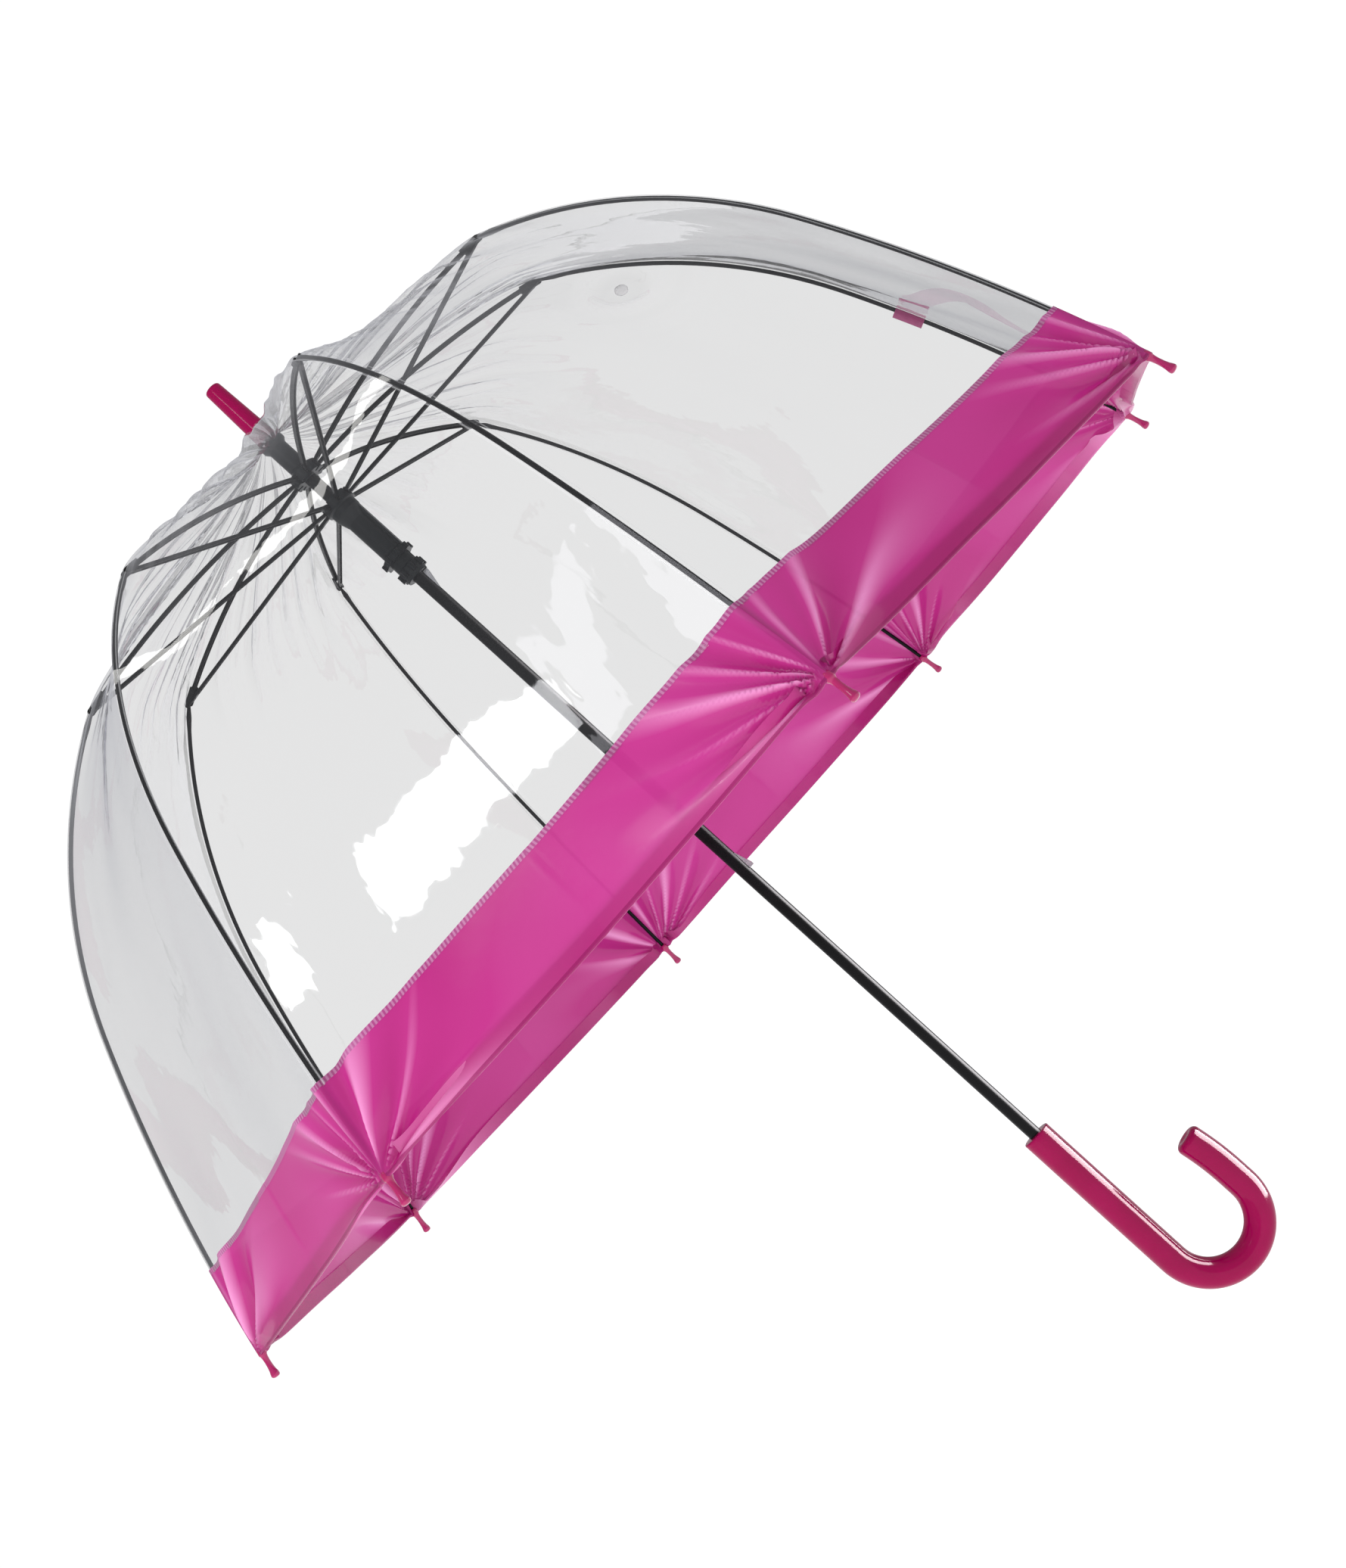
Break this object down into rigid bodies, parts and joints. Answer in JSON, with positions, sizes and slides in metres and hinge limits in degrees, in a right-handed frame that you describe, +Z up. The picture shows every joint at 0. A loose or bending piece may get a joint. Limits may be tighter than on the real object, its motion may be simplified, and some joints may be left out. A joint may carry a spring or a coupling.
{
  "type": "dome umbrella",
  "caption": "Open clear dome umbrella with a coloured rim band, sprung runner, hinged ribs and a crook handle.",
  "frame": {"origin": "on the shaft's axis, at the middle of the handle's straight grip", "axes": "+Z up the shaft towards the ferrule, +X towards the side the hook curls to"},
  "size_m": [0.8798, 0.8798, 0.9356],
  "materials": {
    "rib_steel": "gloss black paint",
    "clip_steel": "gloss black paint",
    "glass_fibre": "black coated glass fibre",
    "tip_plastic": "gloss",
    "stretcher_steel": "gloss black paint",
    "shaft_steel": "gloss black paint",
    "handle_plastic": "high gloss",
    "ferrule_plastic": "high gloss",
    "notch_plastic": "satin",
    "wire_steel": "bright wire",
    "clear_film": "clear soft vinyl film",
    "pink_film": "translucent pink vinyl film",
    "runner_plastic": "satin",
    "catch_steel": "bright",
    "strap_film": "translucent pink vinyl film"
  },
  "bodies": {
    "shaft": {"shaft_tube": "shaft_steel", "handle": "handle_plastic", "ferrule": "ferrule_plastic", "top_notch": "notch_plastic", "notch_wire": "wire_steel", "canopy_gores": "clear_film", "canopy_trim": "pink_film"},
    "rib_1": {"rib_channel_1": "rib_steel", "joint_clip_1": "clip_steel"},
    "rod_upper_1": {"rod_upper_1": "glass_fibre"},
    "rod_lower_1": {"rod_lower_1": "glass_fibre", "rib_tip_1": "tip_plastic", "tie_strap": "strap_film"},
    "stretcher_1": {"stretcher_1": "stretcher_steel"},
    "rib_2": {"rib_channel_2": "rib_steel", "joint_clip_2": "clip_steel"},
    "rod_upper_2": {"rod_upper_2": "glass_fibre"},
    "rod_lower_2": {"rod_lower_2": "glass_fibre", "rib_tip_2": "tip_plastic"},
    "stretcher_2": {"stretcher_2": "stretcher_steel"},
    "rib_3": {"rib_channel_3": "rib_steel", "joint_clip_3": "clip_steel"},
    "rod_upper_3": {"rod_upper_3": "glass_fibre"},
    "rod_lower_3": {"rod_lower_3": "glass_fibre", "rib_tip_3": "tip_plastic"},
    "stretcher_3": {"stretcher_3": "stretcher_steel"},
    "rib_4": {"rib_channel_4": "rib_steel", "joint_clip_4": "clip_steel"},
    "rod_upper_4": {"rod_upper_4": "glass_fibre"},
    "rod_lower_4": {"rod_lower_4": "glass_fibre", "rib_tip_4": "tip_plastic"},
    "stretcher_4": {"stretcher_4": "stretcher_steel"},
    "rib_5": {"rib_channel_5": "rib_steel", "joint_clip_5": "clip_steel"},
    "rod_upper_5": {"rod_upper_5": "glass_fibre"},
    "rod_lower_5": {"rod_lower_5": "glass_fibre", "rib_tip_5": "tip_plastic"},
    "stretcher_5": {"stretcher_5": "stretcher_steel"},
    "rib_6": {"rib_channel_6": "rib_steel", "joint_clip_6": "clip_steel"},
    "rod_upper_6": {"rod_upper_6": "glass_fibre"},
    "rod_lower_6": {"rod_lower_6": "glass_fibre", "rib_tip_6": "tip_plastic"},
    "stretcher_6": {"stretcher_6": "stretcher_steel"},
    "rib_7": {"rib_channel_7": "rib_steel", "joint_clip_7": "clip_steel"},
    "rod_upper_7": {"rod_upper_7": "glass_fibre"},
    "rod_lower_7": {"rod_lower_7": "glass_fibre", "rib_tip_7": "tip_plastic"},
    "stretcher_7": {"stretcher_7": "stretcher_steel"},
    "rib_8": {"rib_channel_8": "rib_steel", "joint_clip_8": "clip_steel"},
    "rod_upper_8": {"rod_upper_8": "glass_fibre"},
    "rod_lower_8": {"rod_lower_8": "glass_fibre", "rib_tip_8": "tip_plastic"},
    "stretcher_8": {"stretcher_8": "stretcher_steel"},
    "runner": {"runner": "runner_plastic", "runner_wire": "wire_steel"},
    "top_catch": {"top_catch": "catch_steel"},
    "bottom_catch": {"bottom_catch": "catch_steel"}
  },
  "joints": [
    {"name": "canopy_fold", "type": "hinge", "parent": "shaft", "child": "rib_1", "pos_m": [0.00974, 0.00225, 0.736], "axis": [-0.225, 0.9744, 0], "range_deg": [0, 77.95], "deforming": ["canopy_gores", "canopy_trim", "tie_strap"]},
    {"name": "rod_1_swing", "type": "hinge", "parent": "rib_1", "child": "rod_upper_1", "pos_m": [0.21631, 0.04994, 0.721], "axis": [-0.225, 0.9744, 0], "range_deg": [-34.3, 0]},
    {"name": "rod_1_straighten", "type": "hinge", "parent": "rod_upper_1", "child": "rod_lower_1", "pos_m": [0.36247, 0.08368, 0.555], "axis": [-0.225, 0.9744, 0], "range_deg": [-21.83, 0]},
    {"name": "stretcher_1_swing", "type": "hinge", "parent": "rib_1", "child": "stretcher_1", "pos_m": [0.21631, 0.04994, 0.721], "axis": [-0.225, 0.9744, 0], "range_deg": [-155.9, 0]},
    {"name": "rib_2_fold", "type": "hinge", "parent": "shaft", "child": "rib_2", "pos_m": [0.0053, 0.00848, 0.736], "axis": [-0.848, 0.5299, 0], "range_deg": [0, 77.95]},
    {"name": "rod_2_swing", "type": "hinge", "parent": "rib_2", "child": "rod_upper_2", "pos_m": [0.11764, 0.18827, 0.721], "axis": [-0.848, 0.5299, 0], "range_deg": [-34.3, 0]},
    {"name": "rod_2_straighten", "type": "hinge", "parent": "rod_upper_2", "child": "rod_lower_2", "pos_m": [0.19713, 0.31547, 0.555], "axis": [-0.848, 0.5299, 0], "range_deg": [-21.83, 0]},
    {"name": "stretcher_2_swing", "type": "hinge", "parent": "rib_2", "child": "stretcher_2", "pos_m": [0.11764, 0.18827, 0.721], "axis": [-0.848, 0.5299, 0], "range_deg": [-155.9, 0]},
    {"name": "rib_3_fold", "type": "hinge", "parent": "shaft", "child": "rib_3", "pos_m": [-0.00225, 0.00974, 0.736], "axis": [-0.9744, -0.225, 0], "range_deg": [0, 77.95]},
    {"name": "rod_3_swing", "type": "hinge", "parent": "rib_3", "child": "rod_upper_3", "pos_m": [-0.04994, 0.21631, 0.721], "axis": [-0.9744, -0.225, 0], "range_deg": [-34.3, 0]},
    {"name": "rod_3_straighten", "type": "hinge", "parent": "rod_upper_3", "child": "rod_lower_3", "pos_m": [-0.08368, 0.36247, 0.555], "axis": [-0.9744, -0.225, 0], "range_deg": [-21.83, 0]},
    {"name": "stretcher_3_swing", "type": "hinge", "parent": "rib_3", "child": "stretcher_3", "pos_m": [-0.04994, 0.21631, 0.721], "axis": [-0.9744, -0.225, 0], "range_deg": [-155.9, 0]},
    {"name": "rib_4_fold", "type": "hinge", "parent": "shaft", "child": "rib_4", "pos_m": [-0.00848, 0.0053, 0.736], "axis": [-0.5299, -0.848, 0], "range_deg": [0, 77.95]},
    {"name": "rod_4_swing", "type": "hinge", "parent": "rib_4", "child": "rod_upper_4", "pos_m": [-0.18827, 0.11764, 0.721], "axis": [-0.5299, -0.848, 0], "range_deg": [-34.3, 0]},
    {"name": "rod_4_straighten", "type": "hinge", "parent": "rod_upper_4", "child": "rod_lower_4", "pos_m": [-0.31547, 0.19713, 0.555], "axis": [-0.5299, -0.848, 0], "range_deg": [-21.83, 0]},
    {"name": "stretcher_4_swing", "type": "hinge", "parent": "rib_4", "child": "stretcher_4", "pos_m": [-0.18827, 0.11764, 0.721], "axis": [-0.5299, -0.848, 0], "range_deg": [-155.9, 0]},
    {"name": "rib_5_fold", "type": "hinge", "parent": "shaft", "child": "rib_5", "pos_m": [-0.00974, -0.00225, 0.736], "axis": [0.225, -0.9744, 0], "range_deg": [0, 77.95]},
    {"name": "rod_5_swing", "type": "hinge", "parent": "rib_5", "child": "rod_upper_5", "pos_m": [-0.21631, -0.04994, 0.721], "axis": [0.225, -0.9744, 0], "range_deg": [-34.3, 0]},
    {"name": "rod_5_straighten", "type": "hinge", "parent": "rod_upper_5", "child": "rod_lower_5", "pos_m": [-0.36247, -0.08368, 0.555], "axis": [0.225, -0.9744, 0], "range_deg": [-21.83, 0]},
    {"name": "stretcher_5_swing", "type": "hinge", "parent": "rib_5", "child": "stretcher_5", "pos_m": [-0.21631, -0.04994, 0.721], "axis": [0.225, -0.9744, 0], "range_deg": [-155.9, 0]},
    {"name": "rib_6_fold", "type": "hinge", "parent": "shaft", "child": "rib_6", "pos_m": [-0.0053, -0.00848, 0.736], "axis": [0.848, -0.5299, 0], "range_deg": [0, 77.95]},
    {"name": "rod_6_swing", "type": "hinge", "parent": "rib_6", "child": "rod_upper_6", "pos_m": [-0.11764, -0.18827, 0.721], "axis": [0.848, -0.5299, 0], "range_deg": [-34.3, 0]},
    {"name": "rod_6_straighten", "type": "hinge", "parent": "rod_upper_6", "child": "rod_lower_6", "pos_m": [-0.19713, -0.31547, 0.555], "axis": [0.848, -0.5299, 0], "range_deg": [-21.83, 0]},
    {"name": "stretcher_6_swing", "type": "hinge", "parent": "rib_6", "child": "stretcher_6", "pos_m": [-0.11764, -0.18827, 0.721], "axis": [0.848, -0.5299, 0], "range_deg": [-155.9, 0]},
    {"name": "rib_7_fold", "type": "hinge", "parent": "shaft", "child": "rib_7", "pos_m": [0.00225, -0.00974, 0.736], "axis": [0.9744, 0.225, 0], "range_deg": [0, 77.95]},
    {"name": "rod_7_swing", "type": "hinge", "parent": "rib_7", "child": "rod_upper_7", "pos_m": [0.04994, -0.21631, 0.721], "axis": [0.9744, 0.225, 0], "range_deg": [-34.3, 0]},
    {"name": "rod_7_straighten", "type": "hinge", "parent": "rod_upper_7", "child": "rod_lower_7", "pos_m": [0.08368, -0.36247, 0.555], "axis": [0.9744, 0.225, 0], "range_deg": [-21.83, 0]},
    {"name": "stretcher_7_swing", "type": "hinge", "parent": "rib_7", "child": "stretcher_7", "pos_m": [0.04994, -0.21631, 0.721], "axis": [0.9744, 0.225, 0], "range_deg": [-155.9, 0]},
    {"name": "rib_8_fold", "type": "hinge", "parent": "shaft", "child": "rib_8", "pos_m": [0.00848, -0.0053, 0.736], "axis": [0.5299, 0.848, 0], "range_deg": [0, 77.95]},
    {"name": "rod_8_swing", "type": "hinge", "parent": "rib_8", "child": "rod_upper_8", "pos_m": [0.18827, -0.11764, 0.721], "axis": [0.5299, 0.848, 0], "range_deg": [-34.3, 0]},
    {"name": "rod_8_straighten", "type": "hinge", "parent": "rod_upper_8", "child": "rod_lower_8", "pos_m": [0.31547, -0.19713, 0.555], "axis": [0.5299, 0.848, 0], "range_deg": [-21.83, 0]},
    {"name": "stretcher_8_swing", "type": "hinge", "parent": "rib_8", "child": "stretcher_8", "pos_m": [0.18827, -0.11764, 0.721], "axis": [0.5299, 0.848, 0], "range_deg": [-155.9, 0]},
    {"name": "runner_slide", "type": "hinge", "parent": "stretcher_1", "child": "runner", "pos_m": [0.00974, 0.00225, 0.706], "axis": [-0.225, 0.9744, 0], "range_deg": [0, 77.95]},
    {"name": "top_catch_press", "type": "slide", "parent": "shaft", "child": "top_catch", "axis": [-0.9863, 0.165, 0], "range_m": [0, 0.0036], "stiffness_N_per_m": 900, "springref_m": -0.001},
    {"name": "bottom_catch_press", "type": "slide", "parent": "shaft", "child": "bottom_catch", "axis": [-0.9863, 0.165, 0], "range_m": [0, 0.0036], "stiffness_N_per_m": 900, "springref_m": -0.001}
  ],
  "couplings": [
    {"joint": "rod_1_swing", "follows": "canopy_fold", "ratio": -0.44},
    {"joint": "rod_1_straighten", "follows": "canopy_fold", "ratio": -0.28},
    {"joint": "stretcher_1_swing", "follows": "canopy_fold", "ratio": -2},
    {"joint": "rib_2_fold", "follows": "canopy_fold", "ratio": 1},
    {"joint": "rod_2_swing", "follows": "canopy_fold", "ratio": -0.44},
    {"joint": "rod_2_straighten", "follows": "canopy_fold", "ratio": -0.28},
    {"joint": "stretcher_2_swing", "follows": "canopy_fold", "ratio": -2},
    {"joint": "rib_3_fold", "follows": "canopy_fold", "ratio": 1},
    {"joint": "rod_3_swing", "follows": "canopy_fold", "ratio": -0.44},
    {"joint": "rod_3_straighten", "follows": "canopy_fold", "ratio": -0.28},
    {"joint": "stretcher_3_swing", "follows": "canopy_fold", "ratio": -2},
    {"joint": "rib_4_fold", "follows": "canopy_fold", "ratio": 1},
    {"joint": "rod_4_swing", "follows": "canopy_fold", "ratio": -0.44},
    {"joint": "rod_4_straighten", "follows": "canopy_fold", "ratio": -0.28},
    {"joint": "stretcher_4_swing", "follows": "canopy_fold", "ratio": -2},
    {"joint": "rib_5_fold", "follows": "canopy_fold", "ratio": 1},
    {"joint": "rod_5_swing", "follows": "canopy_fold", "ratio": -0.44},
    {"joint": "rod_5_straighten", "follows": "canopy_fold", "ratio": -0.28},
    {"joint": "stretcher_5_swing", "follows": "canopy_fold", "ratio": -2},
    {"joint": "rib_6_fold", "follows": "canopy_fold", "ratio": 1},
    {"joint": "rod_6_swing", "follows": "canopy_fold", "ratio": -0.44},
    {"joint": "rod_6_straighten", "follows": "canopy_fold", "ratio": -0.28},
    {"joint": "stretcher_6_swing", "follows": "canopy_fold", "ratio": -2},
    {"joint": "rib_7_fold", "follows": "canopy_fold", "ratio": 1},
    {"joint": "rod_7_swing", "follows": "canopy_fold", "ratio": -0.44},
    {"joint": "rod_7_straighten", "follows": "canopy_fold", "ratio": -0.28},
    {"joint": "stretcher_7_swing", "follows": "canopy_fold", "ratio": -2},
    {"joint": "rib_8_fold", "follows": "canopy_fold", "ratio": 1},
    {"joint": "rod_8_swing", "follows": "canopy_fold", "ratio": -0.44},
    {"joint": "rod_8_straighten", "follows": "canopy_fold", "ratio": -0.28},
    {"joint": "stretcher_8_swing", "follows": "canopy_fold", "ratio": -2},
    {"joint": "runner_slide", "follows": "canopy_fold", "ratio": 1}
  ]
}
